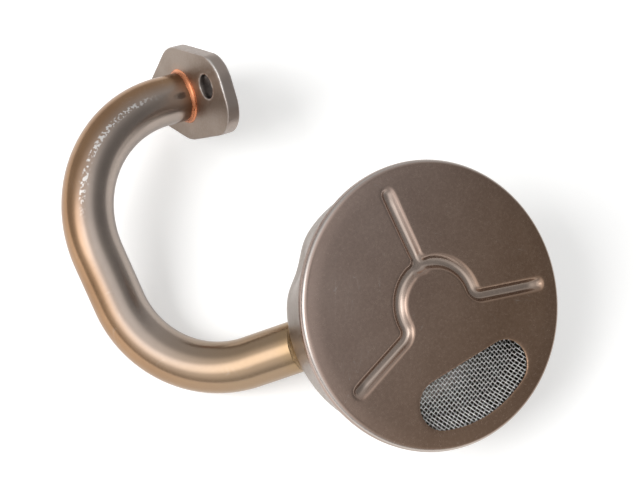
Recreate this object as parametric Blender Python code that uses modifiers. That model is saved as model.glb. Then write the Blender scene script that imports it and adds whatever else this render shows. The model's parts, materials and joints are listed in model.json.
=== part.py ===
"""Oil pickup tube: a bent steel tube with a two-bolt flange at one end and a round screened strainer at the other.

The pieces are modelled around the strainer's axis: Z is the axis, the cover's outer face is at z = 0 and looks
along +Z, and the tube leaves the strainer on the -X side. The whole assembly is then laid on the bench in the
attitude in which it rests, with the middle of its footprint at the world origin.
"""

import math

import bmesh
import bpy
import numpy as np
from mathutils import Matrix, Vector
from mathutils.geometry import convex_hull_2d

MM = 0.001

# Steel tube, 3/4 inch outside, and the way it is bent
TUBE_DIAMETER = 19.05 * MM
TUBE_WALL = 1.25 * MM
TUBE_SLOPE = math.radians(30.5)
TUBE_AIM_DEPTH = 14.0 * MM
ENTRY_LENGTH = 64.7 * MM
ENTRY_BEND_RADIUS = 38.7 * MM
ENTRY_BEND_ANGLE = math.radians(86.7)
ENTRY_BEND_TURN = math.radians(90.2)
MIDDLE_LENGTH = 18.8 * MM
FLANGE_BEND_RADIUS = 45.7 * MM
FLANGE_BEND_ANGLE = math.radians(93.8)
FLANGE_BEND_TURN = math.radians(39.0)
NECK_LENGTH = 9.3 * MM
TUBE_END_INSET = 29.0 * MM
TUBE_MITRE = math.radians(17.0)

# Two-bolt flange plate
FLANGE_THICKNESS = 5.2 * MM
FLANGE_MIDDLE_RADIUS = 18.6 * MM
FLANGE_SLIM_LOBE_RADIUS = 9.8 * MM
FLANGE_BROAD_LOBE_RADIUS = 12.0 * MM
FLANGE_HEEL_OFFSET = 7.0 * MM
FLANGE_EDGE = 0.5 * MM
BOLT_SPACING = 42.0 * MM
BOLT_HOLE_DIAMETER = 9.2 * MM
BOLT_LINE_TURN = math.radians(6.6)
BOLT_LINE_OFFSET = -0.9 * MM

# Copper braze
FLANGE_BRAZE_WIDTH = 2.0 * MM
FLANGE_BRAZE_HEIGHT = 2.2 * MM
HOUSING_BRAZE_RADIUS = 1.5 * MM

# Pressed bottom cover
COVER_RADIUS = 50.4 * MM
COVER_SHEET = 0.6 * MM
COVER_CORNER = 1.8 * MM
CRIMP_WIDTH = 3.0 * MM
GROOVE_DEPTH = 1.9 * MM
GROOVE_HALF_WIDTH = 2.8 * MM
GROOVE_RING_RADIUS = 14.7 * MM
GROOVE_FILLET = 4.2 * MM
GROOVE_RIM_WIDTH = 8.9 * MM
GROOVE_RUNOUT = 3.0 * MM
GROOVE_TIP_LIFT = 0.6
MIDDLE_ARM_ANGLE = math.radians(95.5)
ARM_SPREAD = math.radians(107.0)
WINDOW_RIM_WIDTH = 7.3 * MM
WINDOW_WIDTH = 20.6 * MM
WINDOW_END_RADIUS = 8.7 * MM

# Drawn strainer housing
HOUSING_SHEET = 0.6 * MM
HOUSING_DEPTH = 35.2 * MM
HOUSING_TAPER = math.radians(3.5)
HOUSING_CORNER = 12.0 * MM
HOUSING_MOUTH_EDGE = 1.2 * MM
DENT_BEARING = math.radians(141.0)
DENT_LEVEL = 24.0 * MM
DENT_TOOL_RADIUS = 15.0 * MM
DENT_DEPTH = 2.6 * MM

# Wire screen
SCREEN_THICKNESS = 0.4 * MM
SCREEN_CLAMP_WIDTH = 3.2 * MM
SCREEN_SLOPE_WIDTH = 8.0 * MM
SCREEN_DISH = 4.2 * MM
SCREEN_PITCH = 9.0 * MM
SCREEN_BAR = 2.0 * MM
SCREEN_TURN = math.radians(28.5)

# Fit and fineness
CLEARANCE = 0.3 * MM
MERGE = 0.00001
ROUND_STEPS = 60
HOLE_SIDES = 24
TUBE_SIDES = 24
SLOPE_STEPS = 4
BEND_STEP = math.radians(7.5)
WINDOW_END_LIMIT = 0.45
CUTTER_REACH = 10.0 * MM

# Stack of sheets at the strainer's rim, from the cover's outer face down
SCREEN_TOP = -(COVER_SHEET + CLEARANCE)
HOUSING_TOP = SCREEN_TOP - SCREEN_THICKNESS - CLEARANCE
LIP_TOP = HOUSING_TOP - HOUSING_SHEET - CLEARANCE
COVER_BOTTOM = LIP_TOP - COVER_SHEET
HOUSING_MOUTH_RADIUS = COVER_RADIUS - CRIMP_WIDTH
HOUSING_FLANGE_RADIUS = COVER_RADIUS - COVER_SHEET - 2 * CLEARANCE
LIP_RADIUS = HOUSING_MOUTH_RADIUS + CLEARANCE
SCREEN_RADIUS = COVER_RADIUS - COVER_CORNER

# The groove's arms and the window end at set distances inside the cover's edge
GROOVE_TIP_RADIUS = COVER_RADIUS - GROOVE_RIM_WIDTH
WINDOW_OUTER_RADIUS = COVER_RADIUS - WINDOW_RIM_WIDTH

# The tube and the bores that it sits in
TUBE_RADIUS = TUBE_DIAMETER / 2
TUBE_SEAT_RADIUS = TUBE_RADIUS + CLEARANCE


def new_collection(name):
    """A collection linked to the scene."""
    collection = bpy.data.collections.new(name)
    bpy.context.scene.collection.children.link(collection)
    return collection


def steel_finish(name, colour, roughness, metallic=1.0):
    """A Principled material in one colour."""
    material = bpy.data.materials.new(name)
    material.use_nodes = True
    shader = material.node_tree.nodes["Principled BSDF"]
    shader.inputs["Base Color"].default_value = (*colour, 1.0)
    shader.inputs["Roughness"].default_value = roughness
    shader.inputs["Metallic"].default_value = metallic
    return material


def add_object(name, data, collection, parent, matrix=None):
    """An object under the bench empty, placed by a matrix in the strainer's frame."""
    item = bpy.data.objects.new(name, data)
    collection.objects.link(item)
    item.parent = parent
    if matrix is not None:
        item.matrix_local = matrix
    return item


def as_cutter(item):
    """Marks an object as a cutter, which is no part of the product."""
    item.hide_render = True
    item.display_type = "WIRE"
    return item


def boolean(item, other, operation):
    """Cuts, joins or trims an object with another one."""
    modifier = item.modifiers.new(f"{operation.lower()} {other.name}", "BOOLEAN")
    modifier.operation = operation
    modifier.object = other
    modifier.solver = "EXACT"
    return modifier


def arc(centre_x, centre_z, radius, start, end, steps):
    """Points of an arc in a profile plane, both ends included, angles in degrees."""
    angles = [math.radians(start + (end - start) * k / steps) for k in range(steps + 1)]
    return [(centre_x + radius * math.cos(a), centre_z + radius * math.sin(a)) for a in angles]


def turned(name, profile, collection, parent, matrix=None, closed=False, steps=ROUND_STEPS):
    """A body turned about Z from a profile of (radius, height) points."""
    mesh = bpy.data.meshes.new(name)
    edges = [(k, k + 1) for k in range(len(profile) - 1)]
    if closed:
        edges.append((len(profile) - 1, 0))
    mesh.from_pydata([(x, 0.0, z) for x, z in profile], edges, [])
    item = add_object(name, mesh, collection, parent, matrix)
    screw = item.modifiers.new("turn", "SCREW")
    screw.axis = "Z"
    screw.steps = steps
    screw.render_steps = steps
    screw.use_merge_vertices = True
    screw.merge_threshold = MERGE
    screw.use_smooth_shade = True
    return item


def curve_to_mesh(item):
    """Replaces a curve object by a mesh object of the same shape, with its caps welded on."""
    graph = bpy.context.evaluated_depsgraph_get()
    mesh = bpy.data.meshes.new_from_object(item.evaluated_get(graph))
    body = bmesh.new()
    body.from_mesh(mesh)
    bmesh.ops.remove_doubles(body, verts=body.verts, dist=MERGE)
    bmesh.ops.recalc_face_normals(body, faces=body.faces)
    body.to_mesh(mesh)
    body.free()
    solid = bpy.data.objects.new(item.name + "_solid", mesh)
    item.users_collection[0].objects.link(solid)
    solid.parent = item.parent
    solid.matrix_local = item.matrix_local.copy()
    name = item.name
    bpy.data.objects.remove(item)
    solid.name = name
    return solid


def rod(name, points, radius, collection, parent, matrix=None, caps=True, closed=False, resolution=2):
    """A round bar along a line of points."""
    curve = bpy.data.curves.new(name, "CURVE")
    curve.dimensions = "3D"
    curve.twist_mode = "MINIMUM"
    curve.bevel_depth = radius
    curve.bevel_resolution = resolution
    curve.use_fill_caps = caps
    spline = curve.splines.new("POLY")
    spline.points.add(len(points) - 1)
    for place, point in zip(spline.points, points):
        place.co = (*point, 1.0)
    spline.use_cyclic_u = closed
    return curve_to_mesh(add_object(name, curve, collection, parent, matrix))


def plate(name, outlines, thickness, collection, parent, matrix=None, edge=0.0):
    """A flat plate of an outline and its holes, its mid-plane on the local XY plane."""
    curve = bpy.data.curves.new(name, "CURVE")
    curve.dimensions = "2D"
    curve.fill_mode = "BOTH"
    curve.extrude = thickness / 2 - edge
    curve.bevel_depth = edge
    curve.bevel_resolution = 1
    curve.offset = -edge
    for outline in outlines:
        spline = curve.splines.new("POLY")
        spline.points.add(len(outline) - 1)
        for place, (x, y) in zip(spline.points, outline):
            place.co = (x, y, 0.0, 1.0)
        spline.use_cyclic_u = True
    return curve_to_mesh(add_object(name, curve, collection, parent, matrix))


def cylinder(name, radius, low, high, collection, parent, matrix=None, sides=32):
    """A cylinder along local Z between two heights."""
    mesh = bpy.data.meshes.new(name)
    body = bmesh.new()
    bmesh.ops.create_cone(body, cap_ends=True, segments=sides, radius1=radius, radius2=radius, depth=high - low)
    bmesh.ops.translate(body, verts=body.verts, vec=(0.0, 0.0, (low + high) / 2))
    body.to_mesh(mesh)
    body.free()
    return add_object(name, mesh, collection, parent, matrix)


def frame_at(point, along, across):
    """A matrix whose Z runs along one direction and whose X lies as near as it can to another."""
    z_axis = along.normalized()
    x_axis = (across - across.dot(z_axis) * z_axis).normalized()
    y_axis = z_axis.cross(x_axis)
    matrix = Matrix((x_axis, y_axis, z_axis)).transposed().to_4x4()
    matrix.translation = point
    return matrix


def tube_direction():
    """Unit vector along which the tube leaves the strainer."""
    return Vector((-math.cos(TUBE_SLOPE), 0.0, -math.sin(TUBE_SLOPE)))


def tube_axis_point(distance):
    """A point on the tube's first straight, by its distance from the strainer's axis."""
    return Vector((0.0, 0.0, -TUBE_AIM_DEPTH)) + tube_direction() * distance


def tube_route(start):
    """Centre line of the tube, from inside the strainer to the flange's mating face, and its last heading."""
    heading = tube_direction()
    point = tube_axis_point(start)
    points = [point.copy()]
    hinge = Vector((0.0, 1.0, 0.0))
    bends = (
        (ENTRY_LENGTH - start, ENTRY_BEND_RADIUS, ENTRY_BEND_ANGLE, ENTRY_BEND_TURN),
        (MIDDLE_LENGTH, FLANGE_BEND_RADIUS, FLANGE_BEND_ANGLE, FLANGE_BEND_TURN),
    )
    for straight, radius, angle, turn in bends:
        point = point + heading * straight
        hinge = Matrix.Rotation(turn, 3, heading) @ hinge
        centre = point + hinge.cross(heading) * radius
        steps = math.ceil(angle / BEND_STEP)
        for k in range(steps + 1):
            points.append(centre + Matrix.Rotation(angle * k / steps, 3, hinge) @ (point - centre))
        heading = Matrix.Rotation(angle, 3, hinge) @ heading
        point = points[-1]
    points.append(point + heading * (NECK_LENGTH + FLANGE_THICKNESS))
    return points, heading


def flange_frame():
    """Frame of the flange: origin on its mating face, Z out of that face, X along the bolt line."""
    points, heading = tube_route(TUBE_END_INSET)
    matrix = frame_at(points[-1], heading, Vector((0.0, 0.0, 1.0)))
    return matrix @ Matrix.Rotation(BOLT_LINE_TURN, 4, "Z")


def hull_of_discs(discs, sides=ROUND_STEPS):
    """Outline stretched around discs, each given as (x, y, radius): arcs joined by their tangents."""
    points = [point for x, y, radius in discs for point in arc(x, y, radius, 0.0, 360.0, sides)[1:]]
    return [points[k] for k in convex_hull_2d(points)]


def flange_outline():
    """Slim lobe at one bolt, a middle round the tube, and a broad lobe with a heel at the other bolt."""
    bolt = BOLT_SPACING / 2
    line = BOLT_LINE_OFFSET
    return hull_of_discs((
        (0.0, line, FLANGE_MIDDLE_RADIUS),
        (-bolt, line, FLANGE_SLIM_LOBE_RADIUS),
        (bolt, line, FLANGE_BROAD_LOBE_RADIUS),
        (bolt, line + FLANGE_HEEL_OFFSET, FLANGE_BROAD_LOBE_RADIUS),
    ))


def make_flange(parts, bench):
    """Thick plate, punched for two bolts and bored for the tube."""
    middle = flange_frame() @ Matrix.Translation((0.0, 0.0, -FLANGE_THICKNESS / 2))
    outlines = [flange_outline()]
    for radius, x, y in (
        (TUBE_SEAT_RADIUS, 0.0, 0.0),
        (BOLT_HOLE_DIAMETER / 2, BOLT_SPACING / 2, BOLT_LINE_OFFSET),
        (BOLT_HOLE_DIAMETER / 2, -BOLT_SPACING / 2, BOLT_LINE_OFFSET),
    ):
        outlines.append(arc(x, y, radius, 360.0, 0.0, HOLE_SIDES)[1:])
    return plate("mounting_flange", outlines, FLANGE_THICKNESS, parts, bench, middle, FLANGE_EDGE)


def make_tube(parts, cutters, bench):
    """Bent tube, open at both ends, its strainer end cut at a mitre that follows the housing's wall."""
    points, _ = tube_route(TUBE_END_INSET - TUBE_DIAMETER)
    tube = rod("pickup_tube", points, TUBE_RADIUS, parts, bench, caps=False, resolution=(TUBE_SIDES - 4) // 2)
    wall = tube.modifiers.new("wall", "SOLIDIFY")
    wall.thickness = TUBE_WALL
    wall.offset = -1.0
    wall.use_even_offset = True
    face = Matrix.Translation(tube_axis_point(TUBE_END_INSET)) @ Matrix.Rotation(TUBE_MITRE, 4, "Y")
    block = cylinder("mitre_block", TUBE_DIAMETER * 2, 0.0, TUBE_DIAMETER * 3, cutters, bench, face)
    boolean(tube, as_cutter(block), "DIFFERENCE")
    return tube


def housing_profile(inset, top):
    """Turned outline of the cup at a depth inside its outer surface, from the axis at the top down to the back."""
    mouth = HOUSING_MOUTH_RADIUS - inset / math.cos(HOUSING_TAPER)
    flange_under = HOUSING_TOP - HOUSING_SHEET
    corner = HOUSING_CORNER - inset
    centre_z = -HOUSING_DEPTH + HOUSING_CORNER
    wall_at_centre = mouth - (flange_under - centre_z) * math.tan(HOUSING_TAPER)
    centre_x = wall_at_centre - corner / math.cos(HOUSING_TAPER)
    bend = arc(centre_x, centre_z, corner, -math.degrees(HOUSING_TAPER), -90.0, 9)
    mouth_at_top = mouth + (top - flange_under) * math.tan(HOUSING_TAPER)
    return mouth_at_top, bend + [(0.0, -HOUSING_DEPTH + inset)]


def housing_wall_radius(depth):
    """Outer radius of the cup at a depth below the cover's face, or None below its back."""
    _, lower = housing_profile(0.0, HOUSING_TOP)
    flange_under = HOUSING_TOP - HOUSING_SHEET
    line = [(HOUSING_MOUTH_RADIUS, flange_under)] + lower
    for (x0, z0), (x1, z1) in zip(line, line[1:]):
        if z1 <= -depth <= z0 and z0 > z1:
            return x0 + (x1 - x0) * (z0 + depth) / (z0 - z1)
    return None


def dent_tool(name, growth, cutters, bench):
    """Ball that presses the shallow dent beside the tube into the cup's wall."""
    middle = housing_wall_radius(DENT_LEVEL) + DENT_TOOL_RADIUS - DENT_DEPTH
    outward = Vector((math.cos(DENT_BEARING), math.sin(DENT_BEARING), 0.0))
    place = Matrix.Translation(outward * middle + Vector((0.0, 0.0, -DENT_LEVEL)))
    mesh = bpy.data.meshes.new(name)
    body = bmesh.new()
    bmesh.ops.create_uvsphere(
        body, u_segments=ROUND_STEPS // 2, v_segments=ROUND_STEPS // 4, radius=DENT_TOOL_RADIUS + growth
    )
    body.to_mesh(mesh)
    body.free()
    return as_cutter(add_object(name, mesh, cutters, bench, place))


def make_housing(parts, cutters, bench):
    """Cup drawn from sheet, with a rim flange, a rounded back and the hole that the tube enters."""
    flange_under = HOUSING_TOP - HOUSING_SHEET
    _, lower = housing_profile(0.0, HOUSING_TOP)
    outside = [(0.0, HOUSING_TOP), (HOUSING_FLANGE_RADIUS, HOUSING_TOP), (HOUSING_FLANGE_RADIUS, flange_under)]
    outside += [(HOUSING_MOUTH_RADIUS, flange_under)] + lower
    housing = turned("strainer_housing", outside, parts, bench)
    boolean(housing, dent_tool("dent_outside", 0.0, cutters, bench), "DIFFERENCE")

    mouth, lower = housing_profile(HOUSING_SHEET, HOUSING_TOP)
    edge = arc(mouth + HOUSING_MOUTH_EDGE, HOUSING_TOP - HOUSING_MOUTH_EDGE, HOUSING_MOUTH_EDGE, 90.0, 180.0, 3)
    above = HOUSING_TOP + HOUSING_CORNER
    inside = [(0.0, above), (mouth + HOUSING_MOUTH_EDGE, above)] + edge + lower
    cavity = as_cutter(turned("cavity", inside, cutters, bench))
    boolean(cavity, dent_tool("dent_inside", HOUSING_SHEET, cutters, bench), "DIFFERENCE")
    boolean(housing, cavity, "DIFFERENCE")

    along = frame_at(tube_axis_point(0.0), tube_direction(), Vector((0.0, 1.0, 0.0)))
    hole = cylinder("tube_hole", TUBE_SEAT_RADIUS, 0.0, ENTRY_LENGTH, cutters, bench, along)
    boolean(housing, as_cutter(hole), "DIFFERENCE")
    return housing


def entry_line(offset):
    """Closed line where the tube's skin, grown by an offset, meets the outside of the cup."""
    along = tube_direction()
    side = Vector((0.0, 1.0, 0.0))
    down = along.cross(side).normalized()
    points = []
    for k in range(ROUND_STEPS // 2):
        angle = 2 * math.pi * k / (ROUND_STEPS // 2)
        skin = (side * math.cos(angle) + down * math.sin(angle)) * (TUBE_RADIUS + offset)
        low, high = 0.0, ENTRY_LENGTH
        for _ in range(30):
            middle = (low + high) / 2
            place = tube_axis_point(middle) + skin
            wall = housing_wall_radius(-place.z)
            inside = wall is not None and math.hypot(place.x, place.y) < wall
            low, high = (middle, high) if inside else (low, middle)
        points.append(tube_axis_point((low + high) / 2) + skin)
    return points


def make_housing_braze(parts, cutters, bench):
    """Braze bead laid in the corner between the tube and the cup."""
    bead = rod(
        "housing_braze", entry_line(CLEARANCE), HOUSING_BRAZE_RADIUS, parts, bench, closed=True, caps=False,
        resolution=2,
    )
    along = frame_at(tube_axis_point(0.0), tube_direction(), Vector((0.0, 1.0, 0.0)))
    core = cylinder("braze_core", TUBE_SEAT_RADIUS, 0.0, ENTRY_LENGTH, cutters, bench, along)
    boolean(bead, as_cutter(core), "DIFFERENCE")
    _, lower = housing_profile(-CLEARANCE, HOUSING_TOP)
    mouth = HOUSING_MOUTH_RADIUS + CLEARANCE
    body = [(0.0, HOUSING_TOP), (mouth, HOUSING_TOP), (mouth, HOUSING_TOP - HOUSING_SHEET)] + lower
    boolean(bead, as_cutter(turned("braze_backing", body, cutters, bench)), "DIFFERENCE")
    return bead


def make_flange_braze(parts, bench):
    """Ring of braze with a hollow face, in the corner between the tube and the flange."""
    seat = flange_frame() @ Matrix.Translation((0.0, 0.0, -FLANGE_THICKNESS - CLEARANCE))
    inner = TUBE_SEAT_RADIUS
    hollow = [
        (inner + FLANGE_BRAZE_WIDTH * (1 - math.sin(a)), -FLANGE_BRAZE_HEIGHT * (1 - math.cos(a)))
        for a in (math.radians(90 * k / 5) for k in range(1, 5))
    ]
    toe = FLANGE_EDGE / 2
    profile = [(inner, 0.0), (inner + FLANGE_BRAZE_WIDTH, 0.0), (inner + FLANGE_BRAZE_WIDTH, -toe)]
    profile += [(x, z - toe) for x, z in hollow]
    profile += [(inner + toe, -FLANGE_BRAZE_HEIGHT), (inner, -FLANGE_BRAZE_HEIGHT)]
    return turned("flange_braze", profile, parts, bench, seat, closed=True, steps=ROUND_STEPS // 2)


def groove_radius():
    """Radius of the round punch that presses the groove, from the groove's width and depth."""
    return (GROOVE_HALF_WIDTH ** 2 + GROOVE_DEPTH ** 2) / (2 * GROOVE_DEPTH)


def groove_lines():
    """Lines of the punch's centre: the outer arms with the ring between them, and the middle arm."""
    height = groove_radius() - GROOVE_DEPTH
    lead = math.asin(GROOVE_FILLET / (GROOVE_RING_RADIUS + GROOVE_FILLET))
    middle = math.pi / 2

    def arm(angle):
        out = Vector((math.cos(angle), math.sin(angle), 0.0))
        tip = out * GROOVE_TIP_RADIUS + Vector((0.0, 0.0, height + GROOVE_DEPTH * GROOVE_TIP_LIFT))
        return [tip, out * (GROOVE_TIP_RADIUS - GROOVE_RUNOUT) + Vector((0.0, 0.0, height))]

    start = middle - ARM_SPREAD + lead
    centre = (GROOVE_RING_RADIUS + GROOVE_FILLET) * Vector((math.cos(start), math.sin(start)))
    degrees = math.degrees(start)
    corner = arc(centre.x, centre.y, GROOVE_FILLET, degrees - math.degrees(lead) - 90.0, degrees - 180.0, 5)
    half_ring = arc(0.0, 0.0, GROOVE_RING_RADIUS, degrees, 90.0, 10)
    half = arm(middle - ARM_SPREAD) + [Vector((x, y, height)) for x, y in corner + half_ring[1:]]
    mirrored = [Vector((-point.x, point.y, point.z)) for point in reversed(half[:-1])]
    inner_end = Vector((0.0, GROOVE_RING_RADIUS - GROOVE_HALF_WIDTH / 2, height))
    turn = Matrix.Rotation(MIDDLE_ARM_ANGLE - middle, 3, "Z")
    lines = {"anchor": half + mirrored, "middle_arm": arm(middle) + [inner_end]}
    return {name: [turn @ point for point in line] for name, line in lines.items()}


def window_outline():
    """Window with a straight inner edge, an outer edge that follows the rim, and round ends.

    An end's radius can be no more than a little under half the window's width.
    """
    end = min(WINDOW_END_RADIUS, WINDOW_END_LIMIT * WINDOW_WIDTH)
    centre_x = WINDOW_OUTER_RADIUS - WINDOW_WIDTH + end
    centre_y = math.sqrt((WINDOW_OUTER_RADIUS - end) ** 2 - centre_x ** 2)
    bearing = math.degrees(math.atan2(centre_y, centre_x))
    outer = arc(0.0, 0.0, WINDOW_OUTER_RADIUS, -bearing, bearing, 8)
    upper = arc(centre_x, centre_y, end, bearing, 180.0, 9)
    lower = arc(centre_x, -centre_y, end, 180.0, 360.0 - bearing, 9)
    return outer + upper[1:] + lower[:-1]


def make_cover(parts, cutters, bench):
    """Pressed cover: flat plate, rolled rim and lip, three-armed groove with a ring, and the oil window."""
    corner_x = COVER_RADIUS - COVER_CORNER
    side_inside = COVER_RADIUS - COVER_SHEET
    profile = [(0.0, 0.0)] + arc(corner_x, -COVER_CORNER, COVER_CORNER, 90.0, 0.0, 5)
    profile += arc(side_inside, COVER_BOTTOM + COVER_SHEET, COVER_SHEET, 0.0, -90.0, 3)
    profile += [(LIP_RADIUS, COVER_BOTTOM), (LIP_RADIUS, LIP_TOP), (side_inside, LIP_TOP)]
    profile += arc(corner_x, -COVER_CORNER, COVER_CORNER - COVER_SHEET, 0.0, 90.0, 4)
    profile += [(0.0, -COVER_SHEET)]
    cover = turned("bottom_cover", profile, parts, bench)

    punch = groove_radius()
    above = cylinder("above_cover", COVER_RADIUS, -COVER_SHEET / 2, CUTTER_REACH, cutters, bench)
    as_cutter(above)
    lines = groove_lines()
    for name, points in lines.items():
        swell = as_cutter(rod(f"{name}_back", points, punch + COVER_SHEET, cutters, bench, resolution=6))
        boolean(swell, above, "DIFFERENCE")
        boolean(cover, swell, "UNION")
    for name, points in lines.items():
        press = as_cutter(rod(f"{name}_press", points, punch, cutters, bench, resolution=6))
        boolean(cover, press, "DIFFERENCE")

    facing = Matrix.Rotation(MIDDLE_ARM_ANGLE + math.pi, 4, "Z")
    window = plate("window_cut", [window_outline()], 2 * CUTTER_REACH, cutters, bench, facing)
    boolean(cover, as_cutter(window), "DIFFERENCE")
    return cover


def screen_height(radius):
    """Mid-surface height of the dished screen at a radius."""
    flat_edge = SCREEN_RADIUS - SCREEN_CLAMP_WIDTH
    share = min(max((flat_edge - radius) / SCREEN_SLOPE_WIDTH, 0.0), 1.0)
    ease = share * share * (3 - 2 * share)
    return SCREEN_TOP - SCREEN_THICKNESS / 2 - SCREEN_DISH * ease


def gap_posts(cutters, bench):
    """Square posts in rows, one for each gap that lies whole inside the screen's rim."""
    mesh = bpy.data.meshes.new("screen_gaps")
    body = bmesh.new()
    gap = SCREEN_PITCH - SCREEN_BAR
    limit = SCREEN_RADIUS - SCREEN_CLAMP_WIDTH - SCREEN_BAR
    count = math.ceil(limit / SCREEN_PITCH)
    rows = [(k + 0.5) * SCREEN_PITCH for k in range(-count, count)]
    size = Matrix.Diagonal((gap, gap, 4 * SCREEN_DISH, 1.0))
    for x in rows:
        for y in rows:
            if math.hypot(abs(x) + gap / 2, abs(y) + gap / 2) < limit:
                bmesh.ops.create_cube(body, size=1.0, matrix=Matrix.Translation((x, y, 0.0)) @ size)
    body.to_mesh(mesh)
    body.free()
    return as_cutter(add_object("screen_gaps", mesh, cutters, bench, Matrix.Rotation(SCREEN_TURN, 4, "Z")))


def make_screen(parts, cutters, bench):
    """Screen as one dished wall with rows of square gaps inside the flat rim that the cover clamps."""
    flat_edge = SCREEN_RADIUS - SCREEN_CLAMP_WIDTH
    slope = [flat_edge - SCREEN_SLOPE_WIDTH * (1 - k / SLOPE_STEPS) for k in range(SLOPE_STEPS + 1)]
    radii = [0.0] + slope + [SCREEN_RADIUS]
    half = SCREEN_THICKNESS / 2
    upper = [(r, screen_height(r) + half) for r in radii]
    lower = [(r, screen_height(r) - half) for r in reversed(radii)]
    screen = turned("wire_screen", upper + lower, parts, bench)
    boolean(screen, gap_posts(cutters, bench), "DIFFERENCE")
    return screen


def world_solid(item, graph):
    """Corners and triangles of an object as the modifiers leave it, in the strainer's frame."""
    evaluated = item.evaluated_get(graph)
    mesh = evaluated.to_mesh()
    mesh.calc_loop_triangles()
    corners = np.array([item.matrix_world @ v.co for v in mesh.vertices])
    triangles = np.array([t.vertices[:] for t in mesh.loop_triangles])
    evaluated.to_mesh_clear()
    return corners, triangles


def rest_matrix(items):
    """Turn and shift that lay the assembly on the stable side of its hull nearest the cover-up attitude.

    Seen from above, the flange's bolts then run along X.
    """
    graph = bpy.context.evaluated_depsgraph_get()
    clouds, volume, moment = [], 0.0, np.zeros(3)
    for item in items:
        corners, triangles = world_solid(item, graph)
        a, b, c = corners[triangles[:, 0]], corners[triangles[:, 1]], corners[triangles[:, 2]]
        slices = np.einsum("ij,ij->i", a, np.cross(b, c)) / 6
        volume += slices.sum()
        moment += (slices[:, None] * (a + b + c) / 4).sum(axis=0)
        clouds.append(corners)
    cloud = np.vstack(clouds)
    centre = Vector(moment / volume)

    hull = bmesh.new()
    for corner in cloud:
        hull.verts.new(corner)
    bmesh.ops.convex_hull(hull, input=hull.verts)
    best, best_drop = None, 0.0
    for face in hull.faces:
        normal = face.normal.copy()
        if (face.calc_center_median() - centre).dot(normal) < 0:
            normal.negate()
        foot = centre + normal * (face.verts[0].co - centre).dot(normal)
        corners = [v.co for v in face.verts]
        sides = [
            (q - p).cross(foot - p).dot(normal) for p, q in zip(corners, corners[1:] + corners[:1])
        ]
        stable = all(s >= 0 for s in sides) or all(s <= 0 for s in sides)
        if stable and -normal.z > best_drop:
            best, best_drop = normal, -normal.z
    hull.free()
    level = best.rotation_difference(Vector((0.0, 0.0, -1.0))).to_matrix()
    bolts = level @ flange_frame().col[2].xyz
    yaw = Matrix.Rotation(-math.atan2(bolts.y, bolts.x), 3, "Z")
    turn = yaw @ level
    laid = cloud @ np.array(turn).T
    low, high = laid.min(axis=0), laid.max(axis=0)
    shift = Vector((-(low[0] + high[0]) / 2, -(low[1] + high[1]) / 2, -low[2]))
    return Matrix.Translation(shift) @ turn.to_4x4()


def main():
    """Builds the pieces around the strainer's axis and lays the assembly on the bench."""
    for item in list(bpy.data.objects):
        bpy.data.objects.remove(item)
    parts = new_collection("oil_pickup_tube")
    cutters = new_collection("cutters")
    bench = bpy.data.objects.new("bench_attitude", None)
    parts.objects.link(bench)

    pieces = {
        make_flange(parts, bench): ("flange_steel", (0.20, 0.16, 0.13), 0.45),
        make_tube(parts, cutters, bench): ("tube_steel", (0.55, 0.46, 0.36), 0.30),
        make_flange_braze(parts, bench): ("copper_braze", (0.60, 0.28, 0.15), 0.35),
        make_housing(parts, cutters, bench): ("housing_steel", (0.42, 0.37, 0.32), 0.42),
        make_housing_braze(parts, cutters, bench): ("brown_braze", (0.38, 0.22, 0.10), 0.45),
        make_cover(parts, cutters, bench): ("cover_steel", (0.17, 0.13, 0.11), 0.45),
        make_screen(parts, cutters, bench): ("screen_wire", (0.70, 0.69, 0.66), 0.35),
    }
    for piece, finish in pieces.items():
        piece.data.materials.append(steel_finish(*finish))
    bpy.context.view_layer.update()
    bench.matrix_world = rest_matrix(list(pieces))
    bpy.context.view_layer.update()


main()
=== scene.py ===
"""Looks of an oil pickup: bent tube, mounting flange, strainer housing, their brazes, wire screen and cover.

Sizes are millimetres in the strainer's own frame: Z is its axis, the cover's outer face is at z = 0 and
looks along +Z, and the tube leaves on the -X side. The function lay puts them on the bench, in metres.
"""
import json
import math

import bpy
import numpy as np
from mathutils import Matrix, Vector
from mathutils.geometry import convex_hull_2d


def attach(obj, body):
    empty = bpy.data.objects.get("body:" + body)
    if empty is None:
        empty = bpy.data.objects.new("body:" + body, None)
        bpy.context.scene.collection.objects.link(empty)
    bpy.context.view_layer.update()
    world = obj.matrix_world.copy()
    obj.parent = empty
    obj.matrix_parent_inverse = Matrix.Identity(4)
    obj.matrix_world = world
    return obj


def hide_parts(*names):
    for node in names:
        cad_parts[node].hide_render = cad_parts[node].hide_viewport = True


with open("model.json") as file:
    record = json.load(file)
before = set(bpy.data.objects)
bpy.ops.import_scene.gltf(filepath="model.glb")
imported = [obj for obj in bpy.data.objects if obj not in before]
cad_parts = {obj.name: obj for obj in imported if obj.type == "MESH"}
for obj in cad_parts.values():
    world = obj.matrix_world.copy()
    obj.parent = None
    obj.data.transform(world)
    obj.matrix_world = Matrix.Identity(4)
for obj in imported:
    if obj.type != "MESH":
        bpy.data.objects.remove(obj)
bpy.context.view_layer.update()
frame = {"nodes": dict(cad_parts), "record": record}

# Pickup tube: 3/4 inch steel tube with two bends, its inner end cut at a mitre inside the strainer. Over a
# plain grey it is brown on the outside of its bends, partly heat tint from brazing and partly painted shade,
# and straw by the strainer from the heat; handling has left fine bright nicks along its crown.
MM = 0.001
TUBE_RADIUS = 9.525
TUBE_WALL = 1.25
TUBE_SLOPE = math.radians(30.5)
TUBE_AIM_DEPTH = 14.0
TUBE_END_INSET = 29.0
ENTRY_LENGTH = 64.7
NECK_LENGTH = 9.3
FLANGE_THICKNESS = 5.2
MITRE = math.radians(17.0)
NICKED_WAY = (-0.25, -0.33, 0.91)
BEND_SQUASH = 0.012
TUBE_SIDES = 96
TUBE_SPACING = 1.3
NECK_STATIONS = 12
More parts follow.
